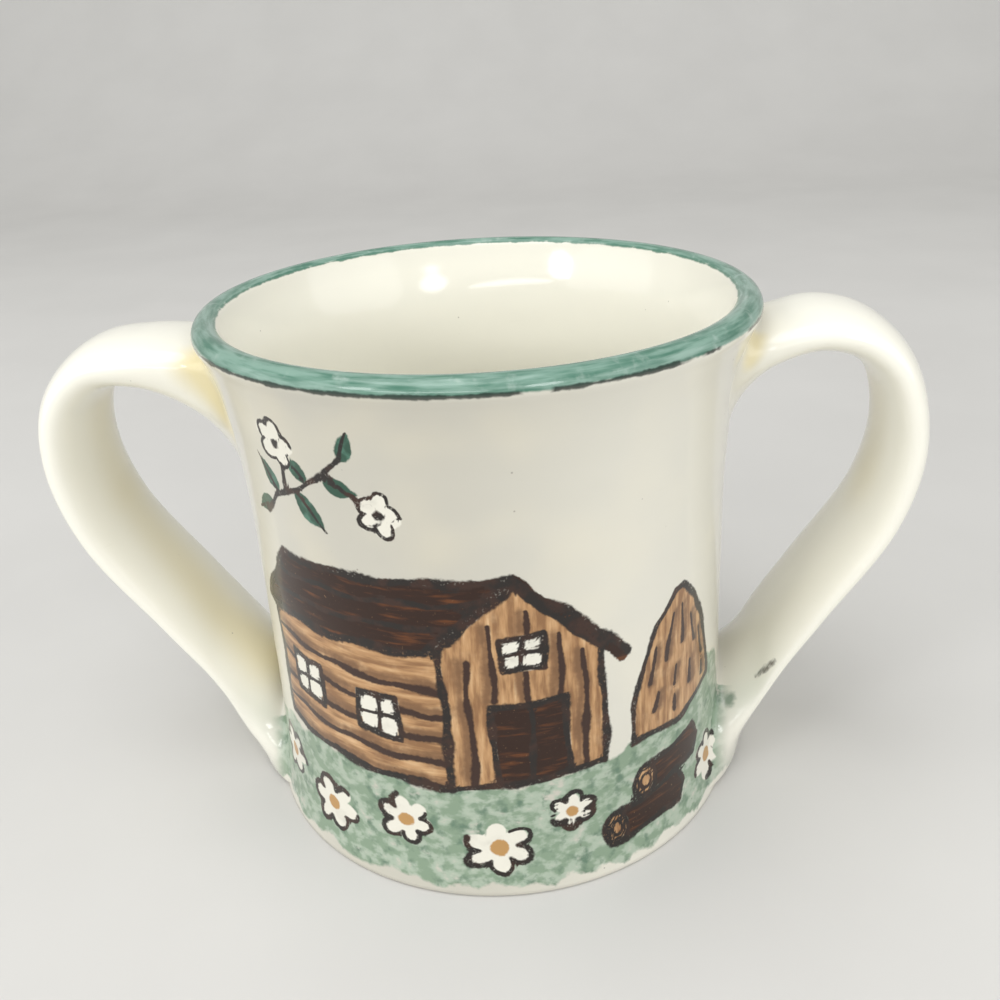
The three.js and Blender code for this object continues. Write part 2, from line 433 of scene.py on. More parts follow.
def throw_body(sizes, material):
    """The turned body as a plain mesh that knows each point's length along the profile."""
    points, along, marks = body_profile(millimetres(sizes))
    line = bpy.data.meshes.new("body_profile")
    corners = [((radius - RAIL_RADIUS) * MM, -z * MM, 0.0) for radius, z in points]
    line.from_pydata(corners, [(i, i + 1) for i in range(len(points) - 1)], [])
    kept = line.attributes.new("along", "FLOAT", "POINT")
    kept.data.foreach_set("value", along.astype(np.float32))
    blank = place_object("body_profile", line)
    modifier = blank.modifiers.new("thrown_body", "NODES")
    modifier.node_group = turning_tree(material)
    for port in modifier.node_group.interface.items_tree:
        if port.name in TURNING_SIZES:
            modifier[port.identifier] = getattr(sizes, port.name)
    seen = blank.evaluated_get(bpy.context.evaluated_depsgraph_get())
    mesh = bpy.data.meshes.new_from_object(seen)
    bpy.data.objects.remove(blank)
    face_outwards(mesh)
    return mesh, marks


def corner_places(mesh):
    """The mesh's points in millimetres."""
    places = np.empty(len(mesh.vertices) * 3, np.float32)
    mesh.vertices.foreach_get("co", places)
    return places.reshape(-1, 3).astype(float) / MM


def face_outwards(mesh):
    """Turns every face of a closed mesh round if the mesh is inside out."""
    places = corner_places(mesh)
    mesh.calc_loop_triangles()
    corners = np.empty(len(mesh.loop_triangles) * 3, np.int32)
    mesh.loop_triangles.foreach_get("vertices", corners)
    a, b, c = places[corners.reshape(-1, 3)].transpose(1, 0, 2)
    if np.einsum("ij,ij->i", a, np.cross(b, c)).sum() < 0:
        mesh.flip_normals()


# Pulled strap handles

class Strap:
    """One handle's numbers in millimetres, and the side of the cup that it is on."""

    def __init__(self, sizes, name, side, line):
        given = vars(millimetres(sizes))
        hand = name.split("_")[0]
        self.name = name
        self.side = side
        self.line = np.array(line, float)
        self.thickness = given[f"{hand}_thickness"]
        self.widths = [given[f"{hand}_{place}"] for place in ("top", "middle", "bottom")]
        self.fill = given[f"{hand}_fill"]

        # Fillet radii beside the joints, and on the inner and the outer face, upper then lower
        self.side_fillets = given["upper_side"], given["lower_side"]
        self.inner_fillets = given[f"{hand}_fillet"], given["crotch_fillet"]
        self.outer_fillets = TOP_FILLET, 0.0


def both_straps(sizes):
    return (Strap(sizes, "left_handle", -1, LEFT_LINE), Strap(sizes, "right_handle", 1, RIGHT_LINE))


def centripetal_point(line, u):
    """Place on a centripetal curve through the line's points, u from 0 to 1 by their order."""
    ends = np.vstack([2 * line[0] - line[1], line, 2 * line[-1] - line[-2]])
    share = np.clip(u, 0, 1) * (len(line) - 1)
    first = np.minimum(share.astype(int), len(line) - 2)
    p0, p1, p2, p3 = (ends[first + i] for i in range(4))
    root = [np.sqrt(np.linalg.norm(b - a, axis=-1, keepdims=True))
            for a, b in ((p0, p1), (p1, p2), (p2, p3))]
    start = (p1 - p0) / root[0] - (p2 - p0) / (root[0] + root[1]) + (p2 - p1) / root[1]
    end = (p2 - p1) / root[1] - (p3 - p1) / (root[1] + root[2]) + (p3 - p2) / root[2]
    return between(p1, p2, start * root[1], end * root[1], (share - first)[..., None])


def fillet_spread(distance, radius):
    """How far a fillet reaches along a surface, at a distance from the surface."""
    near = np.clip(distance, 0, radius)
    return radius - np.sqrt(radius ** 2 - (radius - near) ** 2)


def smooth_step(value, low, high):
    """Share that rises softly from 0 at low to 1 at high."""
    share = np.clip((value - low) / (high - low), 0, 1)
    return share * share * (3 - 2 * share)


def strap_points(strap, outline, share, angle):
    """Points of the strap's skin at shares of its length and angles round its section."""
    u = np.clip(share - STATION_CROWDING * np.sin(2 * math.pi * share), 0, 1)
    step = 1e-4
    ahead, behind = (centripetal_point(strap.line, np.clip(u + d, 0, 1)) for d in (step, -step))
    tangent = ahead - behind
    tangent = tangent / np.linalg.norm(tangent, axis=-1, keepdims=True)
    middle = centripetal_point(strap.line, u)
    power = 2 / STRAP_ROUNDNESS
    across = np.sign(np.sin(angle)) * np.abs(np.sin(angle)) ** power
    through = np.sign(np.cos(angle)) * np.abs(np.cos(angle)) ** power
    thinned = np.clip((u - 0.5) / 0.5, 0, 1) ** THINNING
    thickness = strap.thickness + (STRAP_END_THICKNESS - strap.thickness) * thinned
    width = np.interp(u, (0, 0.5, 1), strap.widths)

    # The toe stands on the table with a rounded lower edge
    left = np.clip(middle[..., 1] - strap.line[-1, 1], 0, TOE_ROUNDING)
    cut_back = fillet_spread(left, TOE_ROUNDING)
    radial = middle[..., 0] - tangent[..., 1] * through * thickness / 2
    height = middle[..., 1] + tangent[..., 0] * through * thickness / 2
    sideways = across * width / 2

    # The lower end bends round the wall, and clay fills the crotch between them
    radius = wall_radius(outline, height)
    bend = radius - np.sqrt(np.clip(radius ** 2 - sideways ** 2, 0, None))
    radial = radial - smooth_step(u, *BEND_ONSET) * bend
    gap = np.hypot(radial, sideways) - radius
    turn = np.arctan2(sideways, radial)
    fill = strap.fill * (1 - smooth_step(gap, strap.fill, 3 * strap.fill)) * (1 - through) / 2
    gap = gap - fill * smooth_step(u, *FILL_ONSET)

    # Fillets run along the wall: beside both joints, under the arch, up the crotch, at the toe
    upper = u < 0.5
    near = gap + FEATHER
    level = np.sqrt(np.clip(1 - across ** 2, 0, 1)) * np.where(upper, 1, -1) * np.sign(through)
    inner = np.where(upper, *strap.inner_fillets)
    outer = np.where(upper, *strap.outer_fillets)
    beside = fillet_spread(near, np.where(upper, *strap.side_fillets))
    spread = height + level * fillet_spread(near, np.where(through > 0, outer, inner))
    reach = wall_radius(outline, spread) + gap - cut_back
    turn = turn + across * beside / reach
    return np.stack([reach * np.cos(turn), reach * np.sin(turn), spread], axis=-1)


def strap_skin(strap, outline):
    """The strap's closed skin: rows of points round it, from inside the wall to the toe."""
    angles = 2 * math.pi * np.arange(STRAP_SIDES) / STRAP_SIDES
    trial = np.linspace(0, TRIAL_SHARE, TRIAL_STATIONS)
    points = strap_points(strap, outline, trial[:, None], angles[None, :])
    depth = wall_radius(outline, points[..., 2]) - np.hypot(points[..., 0], points[..., 1])
    start, edge = (trial[len(trial) - 1 - np.argmax((depth > limit)[::-1], axis=0)]
                   for limit in (END_DEPTH, FEATHER))
    rows = np.linspace(0, 1, STRAP_STATIONS)[:, None]
    rows = rows * (rows + FEATHER_CROWDING) / (1 + FEATHER_CROWDING)
    shares = np.vstack([start, edge + (1 - edge) * rows])
    shares[-1] = LAST_SHARE
    skin = strap_points(strap, outline, shares, angles[None, :])
    skin[..., 0] *= strap.side
    return skin


def strap_mesh(name, skin):
    """A closed mesh from rows of points, with a fan over each end."""
    rows, sides = skin.shape[:2]
    points = [*skin.reshape(-1, 3), skin[0].mean(axis=0), skin[-1].mean(axis=0)]
    start, end = rows * sides, rows * sides + 1
    last = start - sides
    faces = []
    for j in range(sides):
        k = (j + 1) % sides
        faces += [(start, j, k), (end, last + k, last + j)]
        faces += [(i + j, i + sides + j, i + sides + k, i + k) for i in range(0, last, sides)]
    mesh = bpy.data.meshes.new(name)
    mesh.from_pydata([tuple(point * MM) for point in points], [], faces)
    mesh.shade_smooth()
    face_outwards(mesh)
    return mesh


def wall_gap(outline, points):
    """How far points stand out from the wall, in millimetres."""
    return np.hypot(points[:, 0], points[:, 1]) - wall_radius(outline, points[:, 2])


# Painting: motifs in millimetres along the wall (0 in front, right positive) and height

def round_wall(points):
    """Lengths along the wall from the middle of the front, and heights."""
    return np.arctan2(points[:, 0], -points[:, 1]) * ARC_RADIUS, points[:, 2].copy()


def hand_wobble(s, z, seed):
    """Small drifts of the hand, whole waves round the wall so that they close at the back."""
    turn = s / ARC_RADIUS
    ds = 0.26 * np.sin(23 * turn + 0.33 * z + seed) + 0.07 * np.sin(51 * turn - 0.71 * z + 2 * seed)
    dz = 0.24 * np.sin(19 * turn - 0.41 * z + 3 * seed) + 0.07 * np.sin(47 * turn + 0.57 * z + seed)
    return s + ds, z + dz


def way_from(points, start, end):
    """Ways to points from a line between two places, and the shares of it that lie nearest."""
    side = np.subtract(end, start)
    share = np.clip((points - start) @ side / (side @ side), 0, 1)
    return points - start - share[:, None] * side, share


class Canvas:
    """Distance fields of the painting at a set of places, negative inside a painted area."""

    LAYERS = ("outline", "seam", "shade", "timber", "upright", "brown", "meadow", "petal", "leaf")

    # Layers of thin lines, which also keep the way to the nearest line as a share of its half width
    THIN = ("outline", "seam")

    def __init__(self, s, z):
        self.fill_places = hand_wobble(s, z, 0.4)
        self.line_places = hand_wobble(s, z, 2.1)
        self.fields = {name: np.full(len(s), FAR) for name in self.LAYERS}
        self.offsets = {name: np.zeros((len(s), 2)) for name in self.THIN}

    def put(self, layer, index, away, offsets):
        """Keeps distances where they are nearer than the layer's own, and the ways with them."""
        closer = away < self.fields[layer][index]
        self.fields[layer][index[closer]] = away[closer]
        if layer in self.offsets:
            self.offsets[layer][index[closer]] = offsets[closer]

    def near(self, places, path):
        """Numbers of the places near a path, and those places with the back seam closed."""
        s, z = places
        low, high = path.min(0), path.max(0)
        turn = 2 * math.pi * ARC_RADIUS
        middle = (low[0] + high[0]) / 2
        wrapped = (s - middle + turn / 2) % turn - turn / 2 + middle
        close = (wrapped > low[0] - FAR) & (wrapped < high[0] + FAR)
        close &= (z > low[1] - FAR) & (z < high[1] + FAR)
        index = np.flatnonzero(close)
        return index, np.column_stack([wrapped, z])[index]

    def line(self, path, width, layer="outline"):
        """A brush stroke along a path. width is one number or one for each end."""
        path = np.array(path, float)
        first, last = np.broadcast_to(width, 2)
        index, points = self.near(self.line_places, path)
        s, z = points.T
        pressure = 1 + 0.16 * np.sin(0.5 * s + 0.6 * z) + 0.10 * np.sin(1.1 * z - 0.45 * s)
        lengths = np.hypot(*np.diff(path, axis=0).T)
        run = 0.0
        for start, end, size in zip(path[:-1], path[1:], lengths):
            way, share = way_from(points, start, end)
            half = (first + (last - first) * (run + share * size) / lengths.sum()) / 2 * pressure
            self.put(layer, index, np.hypot(*way.T) - half, way / half[:, None])
            run += size

    def distances(self, outline):
        """Numbers of the places near a polygon and their distances to it, negative inside."""
        outline = np.array(outline, float)
        index, points = self.near(self.fill_places, outline)
        away = np.full(len(index), np.inf)
        inside = np.zeros(len(index), bool)
        for start, end in zip(outline, np.roll(outline, -1, axis=0)):
            away = np.minimum(away, np.hypot(*way_from(points, start, end)[0].T))
            right, up = (points - start).T
            crosses = (up < 0) != (points[:, 1] < end[1])
            inside ^= crosses & (right < up * (end[0] - start[0]) / (end[1] - start[1] or 1e-9))
        return index, np.where(inside, -away, away)

    def area(self, outline, *layers):
        """A filled polygon on each of the layers."""
        index, away = self.distances(outline)
        for layer in layers:
            self.put(layer, index, away, np.zeros((len(index), 2)))

    def clear(self, outline):
        """Takes a polygon out of every layer but the meadow, for a motif that stands in front."""
        index, away = self.distances(outline)
        for layer in self.LAYERS:
            if layer != "meadow":
                self.fields[layer][index] = np.maximum(self.fields[layer][index], -away)

    def motif(self, outline, layers, width=None):
        """A filled polygon in front of what is painted so far, outlined if it is given a width."""
        self.clear(outline)
        self.area(outline, *layers)
        if width:
            self.line([*outline, outline[0]], width)


HILLS = (
    (-128.8, 22.0), (-112.0, 26.0), (-95.0, 28.0), (-82.0, 22.0), (-74.0, 9.0), (-56.0, 8.0),
    (-50.0, 17.0), (-42.0, 20.5), (-30.0, 22.0), (-8.0, 20.5), (6.0, 21.0), (20.0, 22.5),
    (34.0, 25.0), (46.0, 29.5), (52.0, 27.0), (58.0, 12.0), (72.0, 10.0), (80.0, 20.0),
    (95.0, 20.5), (112.0, 23.0), (128.8, 22.0),
)
MEADOW_FOOT = 2.1


def hill_height(s):
    places, heights = np.array(HILLS).T
    return np.interp(s, places, heights) + 0.5 * np.sin(31 * s / ARC_RADIUS)


def paint_meadow(canvas):
    s, z = canvas.fill_places
    foot = MEADOW_FOOT + 0.5 * np.sin(17 * s / ARC_RADIUS + 1.0) + 0.35 * np.sin(43 * s / ARC_RADIUS)
    canvas.fields["meadow"] = np.clip(np.maximum(z - hill_height(s), foot - z), -FAR, FAR)


BARN_SIDE = ((-38.5, 23.0), (-4.0, 20.6), (-4.6, 46.0), (-39.0, 45.2))
BARN_GABLE = ((-4.0, 20.6), (20.6, 22.6), (20.2, 43.8), (6.8, 56.0), (-4.6, 46.0))
BARN_ROOF = ((-42.0, 44.4), (-6.4, 45.2), (6.4, 57.2), (-32.5, 56.0))
BARN_RAKE = ((7.0, 56.6), (14.8, 49.6), (23.6, 41.0))
BARN_DOOR = ((3.0, 21.4), (14.4, 22.2), (14.2, 36.4), (2.8, 35.8))
BARN_WINDOWS = (
    ((4.8, 42.0), (11.0, 42.3), (10.9, 47.8), (4.7, 47.5)),
    ((-34.0, 30.4), (-27.0, 30.0), (-27.0, 37.4), (-34.0, 37.6)),
    ((-19.0, 29.2), (-12.0, 28.8), (-12.0, 36.2), (-19.0, 36.4)),
)
BOARD_GAP = 4.4
SIDE_BOARDS = 5


def board_seam(canvas, path, width, beside):
    """A dark seam between two boards, and the shade that gathers on the board beside it."""
    canvas.line(path, width, "seam")
    canvas.line(np.add(path, beside), 1.4, "shade")


def paint_barn(canvas):
    canvas.motif(BARN_SIDE, ["timber"])
    canvas.motif(BARN_GABLE, ["timber", "upright"])
    for rise in BOARD_GAP * np.arange(SIDE_BOARDS):
        path = [(-38.6, 23.0 + rise), (-21.0, 21.9 + rise), (-4.4, 20.7 + rise)]
        board_seam(canvas, path, (0.9, 1.4), (0.0, 1.1))
    for s in (-0.4, 17.4):
        board_seam(canvas, [(s, 21.4), (s - 0.2, 44.0)], (1.3, 0.9), (-1.0, 0.0))
    for s in (3.2, 8.4, 13.4):
        board_seam(canvas, [(s, 36.8), (s, 53.4 - 0.95 * abs(s - 7))], (1.1, 0.8), (-0.9, 0.0))
    canvas.line([*BARN_GABLE, BARN_GABLE[0]], (1.2, 1.5))
    canvas.line(BARN_SIDE[::3], 1.4)
    canvas.line(BARN_SIDE[:2], (1.3, 1.7))
    canvas.motif(BARN_ROOF, ["brown"], (1.7, 1.3))
    for share in (0.36, 0.70):
        low, high = np.array(BARN_ROOF[:2]), np.array(BARN_ROOF[3:1:-1])
        canvas.line(low + share * (high - low), (0.8, 1.1))
    canvas.line(BARN_RAKE, 2.4, "brown")
    canvas.line([(6.4, 57.4), (15.4, 50.6), (24.6, 41.2)], (1.1, 1.4))
    canvas.motif(BARN_DOOR, ["brown"], 1.2)
    canvas.line([(8.7, 21.8), (8.6, 36.0)], 0.9)
    for window in BARN_WINDOWS:
        canvas.motif(window, ["petal"], 1.1)
        low, high = np.min(window, axis=0), np.max(window, axis=0)
        middle = (low + high) / 2
        canvas.line([(middle[0], low[1]), (middle[0], high[1])], 0.8)
        canvas.line([(low[0], middle[1]), (high[0], middle[1])], 0.8)


HAYSTACK = (
    (25.6, 23.6), (26.0, 30.0), (27.8, 37.0), (31.0, 43.2), (35.2, 47.2), (37.4, 47.4),
    (41.0, 44.0), (44.0, 37.8), (45.8, 30.8), (46.2, 25.6), (36.0, 22.6),
)
HAY_STROKES = (
    ((29.0, 33.0), (30.8, 38.8)), ((33.2, 36.0), (34.4, 43.0)), ((37.0, 37.4), (36.9, 43.8)),
    ((40.6, 35.4), (39.6, 41.2)), ((43.4, 32.0), (42.4, 36.8)), ((35.2, 30.0), (35.8, 33.4)),
    ((30.2, 27.6), (31.0, 30.6)), ((39.6, 28.4), (39.4, 32.0)), ((34.8, 25.2), (35.0, 27.8)),
    ((43.6, 27.2), (43.4, 29.8)),
)


def paint_haystack(canvas):
    canvas.motif(HAYSTACK, ["timber", "upright"], (1.1, 1.4))
    for stroke in HAY_STROKES:
        board_seam(canvas, stroke, (1.1, 0.6), (0.7, 0.0))


POST_GAP = 12.0
BOARD_HEIGHT = 3.6


def paint_fence(canvas, start, end):
    """Two boards on posts, along the top of the hill between two places."""
    stations = np.arange(start, end + 0.1, 4.0)
    ground = hill_height(stations)
    for post in np.arange(start + POST_GAP / 2, end, POST_GAP):
        base = float(hill_height(post))
        corners = [(post - 1.6, base - 2.4), (post + 1.6, base - 2.2),
                   (post + 1.5, base + 12.8), (post - 1.5, base + 13.2)]
        canvas.motif(corners, ["timber", "upright"], 1.0)
    for rise in (0.8, 7.6):
        lower, upper = (np.column_stack([stations, ground + rise + step]) for step in (0, BOARD_HEIGHT))
        canvas.motif([*lower, *upper[::-1]], ["timber"], 1.1)
        canvas.line(lower + (0.0, 1.0), 1.3, "shade")


LOGS = (((28.0, 14.8), (40.4, 16.0)), ((21.8, 8.4), (35.8, 9.6)))
LOG_RADIUS = 2.8


def paint_logs(canvas):
    rise = np.array((0.0, LOG_RADIUS))
    for start, end in np.array(LOGS):
        bark = [start - rise, end - rise, end + (1.8, 0.0), end + rise, start + rise]
        canvas.motif(bark, ["brown"], 1.1)
        canvas.motif(oval(start, 0.74 * LOG_RADIUS, LOG_RADIUS)[:-1], ["timber", "upright"], 1.0)
        canvas.line(oval(start, 0.34 * LOG_RADIUS, 0.46 * LOG_RADIUS), 0.6)


DAISIES = (
    (-41.0, 13.0, 4.8), (-27.6, 10.0, 5.4), (-12.6, 13.2, 4.8), (2.4, 9.2, 5.7), (14.6, 14.6, 3.7),
    (45.6, 8.8, 4.6), (-90.0, 6.5, 3.6),
    (-88.0, 17.0, 4.4), (-102.0, 10.0, 5.3), (-119.0, 14.0, 4.8), (76.0, 11.0, 5.0),
    (90.0, 13.0, 4.4), (105.0, 10.0, 5.2), (122.0, 13.0, 4.7),
)
PETALS = 6
HEART_SHARE = 0.22


def petal_rim(centre, radius, petals, depth, twist, squash):
    """Outline of a flower with rounded petals."""
    turns = np.linspace(0, 2 * math.pi, 72, endpoint=False)
    away = radius * (1 - depth + depth * np.abs(np.cos(petals * turns / 2)) ** 0.7)
    return np.column_stack([
        centre[0] + away * np.cos(turns + twist), centre[1] + squash * away * np.sin(turns + twist)])


def paint_flower(canvas, centre, petals, bare, width, heart, layer):
    """White petals in a line that is left open at its end, and a dot for a heart."""
    canvas.motif(petals, ["petal"])
    canvas.line(petals[:-bare], width)
    canvas.area(oval(centre, heart, heart)[:-1], layer)


def paint_daisies(canvas):
    for number, (s0, z0, radius) in enumerate(DAISIES):
        squash = 0.86 + 0.05 * (number % 3)
        petals = petal_rim((s0, z0), radius, PETALS, 0.40, 0.9 * number, squash)
        bare = 6 + 4 * (number % 4)
        paint_flower(canvas, (s0, z0), petals, bare, (1.1, 0.75), HEART_SHARE * radius, "seam")


TWIG = ((-34.6, 62.6), (-30.6, 66.2), (-25.6, 68.2), (-20.4, 71.0), (-15.8, 75.4))
LEAVES = (
    (-32.0, 65.0, 208, 6.2), (-29.4, 66.8, 122, 6.6), (-25.4, 68.2, -48, 7.0),
    (-22.6, 70.0, 132, 5.8), (-19.4, 71.8, -20, 6.2), (-15.8, 75.2, 60, 5.2),
)
BLOSSOMS = ((-27.4, 75.6, 3.7), (-11.2, 67.2, 3.5))
STALKS = (((-27.6, 67.6), (-27.2, 72.6)), ((-18.2, 72.2), (-14.4, 69.2)))


def paint_leaf(canvas, s0, z0, degrees, size):
    """A pointed leaf with a drawn midrib."""
    turn = math.radians(degrees)
    along = np.linspace(0, 1, 9)
    half = 0.24 * np.sin(math.pi * along ** 0.8)
    shape = np.vstack([np.column_stack([along, half]), np.column_stack([along, -half])[-2:0:-1]])
    forward = np.array((math.cos(turn), math.sin(turn)))
    aside = np.array((-forward[1], forward[0]))
    edge = (s0, z0) + size * (shape[:, :1] * forward + shape[:, 1:] * aside)
    canvas.area(edge, "leaf")
    canvas.line([(s0, z0), (s0, z0) + size * forward], (0.7, 0.4))


def paint_twig(canvas):
    canvas.line(TWIG, (1.1, 0.7))
    for leaf in LEAVES:
        paint_leaf(canvas, *leaf)
    for s0, z0, radius in BLOSSOMS:
        petals = petal_rim((s0, z0), radius, 5, 0.38, 0.0, 1.0)
        paint_flower(canvas, (s0, z0), petals, 6, (0.7, 0.5), 0.5, "outline")
    for stalk in STALKS:
        canvas.line(stalk, 0.7)


CROWN = ((-111.0, 50.0, 7.2), (-103.0, 54.0, 6.4), (-96.0, 49.5, 6.6), (-104.0, 45.6, 7.0))
WOOD = (
    (((-103.0, 23.0), (-103.8, 32.0), (-103.2, 46.0)), (4.4, 2.6)),
    (((-103.6, 36.0), (-109.0, 44.0)), (2.0, 1.4)),
    (((-103.4, 37.0), (-98.0, 44.0)), (1.8, 1.2)),
)


def paint_tree(canvas):
    for path, width in WOOD:
        canvas.line(path, width, "brown")
    for side in (-2.2, 1.6):
        canvas.line([(-103.0 + side, 23.0), (-103.6 + 0.7 * side, 41.0)], 0.9)
    for s0, z0, radius in CROWN:
        canvas.area(oval((s0, z0), radius, 0.9 * radius)[:-1], "meadow")
        canvas.line(oval((s0, z0), radius, 0.9 * radius, 17, 150), 0.9)
        for degrees in (40, 130, 220, 310):
            spot = oval((s0, z0), 0.4 * radius, 0.4 * radius, degrees, degrees, 1)[0]
            paint_leaf(canvas, *spot, degrees + 35, 3.4)


def paint_farmyard(canvas):
    """A generic farmyard: barn, haystack, board fences, logs, daisies, a twig and a tree."""
    paint_meadow(canvas)
    paint_tree(canvas)
    paint_haystack(canvas)
    paint_fence(canvas, 84.0, 124.0)
    paint_barn(canvas)
    paint_logs(canvas)
    paint_daisies(canvas)
    paint_twig(canvas)


# Yellow where the clear glaze has run into a corner, and painted shade, warm and darker, on the inner
# faces of the straps under the arches: a line, its radius, how strong
POOLS_AND_SHADE = (
    ((-43.6, -11.0, 79.6), (-39.0, -13.8, 71.0), 6.6, 1.0),
    ((-38.0, -18.6, 82.6), (-37.0, -17.4, 76.0), 2.4, 0.3),
    ((-42.0, 12.0, 79.5), (-38.4, 14.6, 71.0), 5.0, 0.7),
    ((43.0, -9.2, 81.6), (42.0, -11.8, 78.4), 2.8, 0.8),
    ((42.6, 9.6, 81.6), (41.8, 11.8, 77.6), 3.0, 0.7),
    ((37.6, -15.8, 27.0), (40.0, -13.0, 20.0), 3.4, 0.3),
    # Painted shade on the straps' inner faces under the arches
    ((-62.0, 2.0, 70.0), (-62.0, 2.0, 54.0), 11.0, 0.6),
    ((-62.0, 2.0, 54.0), (-45.0, -3.0, 20.0), 10.0, 0.6),
    ((60.0, 1.0, 70.0), (60.0, 1.0, 56.0), 11.0, 0.6),
)

# Stray marks of the brush beside the right handle's lower joint: strokes and their radii
SMUDGES = (
    ((46.5, -10.3, 19.5), (47.7, -10.5, 21.7), 0.40),
    ((47.6, -10.7, 20.8), (49.2, -11.3, 23.3), 0.52),
)
DAUBS = (
    ((39.6, -10.3, 16.0), (39.7, -10.4, 14.6), 0.9),
    ((41.8, -10.7, 15.6), (41.9, -10.8, 14.0), 1.0),
)


def pooling_and_shade(points):
    """Share of yellow at points: glaze gathered in the corners beside the joints, and painted shade on
    the straps' inner faces.
    """
    pooled = np.zeros(len(points))
    for start, end, radius, strength in POOLS_AND_SHADE:
        away = np.linalg.norm(way_from(points, start, end)[0], axis=1)
        pooled = np.maximum(pooled, strength * (1 - smooth_step(away, 0.1 * radius, radius)))
    return pooled


def stray_marks(points, strokes):
    """Distances to the edge of the nearest stray stroke, negative inside it."""
    return np.min([np.linalg.norm(way_from(points, start, end)[0], axis=1) - radius
                   for start, end, radius in strokes], axis=0)


def paint(mesh, points, lift, **fields):
    """Writes all that the glaze reads on a mesh. lift is each point's height above the wall."""
    canvas = Canvas(*round_wall(points))
    paint_farmyard(canvas)
    raised = np.clip(lift, 0, FAR)
    for name, field in canvas.fields.items():
        slope = 0.0 if name == "meadow" else 1.4
        fields[name] = np.minimum(field + slope * raised, FAR)
    fields["unpainted"] = smooth_step(raised, 0.0, WASH_FADE)
    fields["smudge"] = np.minimum(stray_marks(points, SMUDGES), FAR)
    fields["daub"] = np.minimum(stray_marks(points, DAUBS), FAR)
    for name, field in fields.items():
        kept = mesh.attributes.new(name, "FLOAT", "POINT")
        kept.data.foreach_set("value", np.asarray(field, np.float32))
    for name, offsets in canvas.offsets.items():
        kept = mesh.attributes.new(f"{name}_offset", "FLOAT_VECTOR", "POINT")
        kept.data.foreach_set("vector", np.pad(offsets, ((0, 0), (0, 1))).astype(np.float32).ravel())


# Materials

class Finish:
    """A material laid up in layers: its noise patterns, the mesh's fields and the colour so far."""

    def __init__(self, name, patterns, fields=()):
        self.material = bpy.data.materials.new(name)
        self.material.use_nodes = True
        self.tree = self.material.node_tree
        self.tree.nodes.clear()
        self.place = add(self.tree, "ShaderNodeTexCoord").outputs["Object"]
        self.marks = {name: self.noise(*row) for name, row in patterns.items()}
        self.fields = {
            name: add(self.tree, "ShaderNodeAttribute", attribute_name=name).outputs["Fac"]
            for name in fields}
        self.colour = None

    def noise(self, size, detail, seed=(0.0, 0.0, 0.0), squeeze=(1.0, 1.0, 1.0)):
        """A noise pattern: size of a lump in millimetres, detail, seed, squeeze in x, y and z."""
        scale = tuple(share / (size * MM) for share in squeeze)
        lumps = add(self.tree, VECTORS, self.place, scale, seed, operation="MULTIPLY_ADD")
        return add(self.tree, NOISE, {"Vector": lumps, "Scale": 1.0, "Detail": detail})

    def mottled(self, pattern, low, high, first, second):
        """Two colours, turning softly from the first to the second as the pattern rises."""
        share = add(self.tree, RANGE, self.marks[pattern], low, high, interpolation_type="SMOOTHSTEP")
        return add(self.tree, MIX, share, {6: first, 7: second}, data_type="RGBA").outputs[2]

    def cover(self, field, edge, **ragged):
        """How far a layer covers, from its distance field: 1 inside it and 0 outside.

        edge is half the width of its soft edge. Each of ragged is a pattern and the millimetres
        by which it moves the edge."""
        distance = self.fields[field]
        for pattern, amount in ragged.items():
            shift = add(self.tree, "MULTIPLY_ADD", self.marks[pattern], 2 * amount, -amount)
            distance = add(self.tree, "ADD", distance, shift)
        return add(self.tree, RANGE, distance, -edge, edge, 1.0, 0.0, interpolation_type="SMOOTHSTEP")

    def lay(self, cover, strength, colour):
        """A layer over what is laid so far, as opaque as its cover and its strength."""
        share = add(self.tree, "MULTIPLY", cover, strength)
        self.colour = add(
            self.tree, MIX, share, {6: self.colour, 7: colour}, data_type="RGBA").outputs[2]

    def done(self, surface):
        """The material, with its colour and the other values of its surface."""
        shader = add(self.tree, "ShaderNodeBsdfPrincipled", {"Base Color": self.colour, **surface})
        add(self.tree, "ShaderNodeOutputMaterial", shader)
        return self.material


# Half a line's width in millimetres, and how far its plain distance may be off between mesh points
LINE_HALF = 0.5
FIELD_ERROR = 0.3


def thin_line(finish, name):
    """Distance from a drawn line's edge, which stays true between the mesh's points."""
    tree = finish.tree
    way = add(tree, "ShaderNodeAttribute", attribute_name=f"{name}_offset").outputs["Vector"]
    size = add(tree, VECTORS, way, operation="LENGTH").outputs["Value"]
    exact = add(tree, "MULTIPLY_ADD", size, LINE_HALF, -LINE_HALF)
    rough = add(tree, "SUBTRACT", finish.fields[name], FIELD_ERROR)
    return add(tree, "MAXIMUM", exact, rough)


# Pinholes and iron specks: dots on a share of the cells of a grid, in millimetres and in cells
PINHOLE_GRID = 1.9
PINHOLE_SHARE = 0.045
PINHOLE_RADIUS = 0.08
PINHOLE_EDGE = 0.03


def pinholes(finish):
    tree = finish.tree
    cells = add(tree, "ShaderNodeTexVoronoi", {
        "Vector": finish.place, "Scale": 1 / (PINHOLE_GRID * MM)})
    finish.fields["dot"] = add(tree, "SUBTRACT", cells.outputs["Distance"], PINHOLE_RADIUS)
    lot = add(tree, "ShaderNodeSeparateColor", cells.outputs["Color"])
    chosen = add(tree, "LESS_THAN", lot, PINHOLE_SHARE)
    return add(tree, "MULTIPLY", finish.cover("dot", PINHOLE_EDGE), chosen)


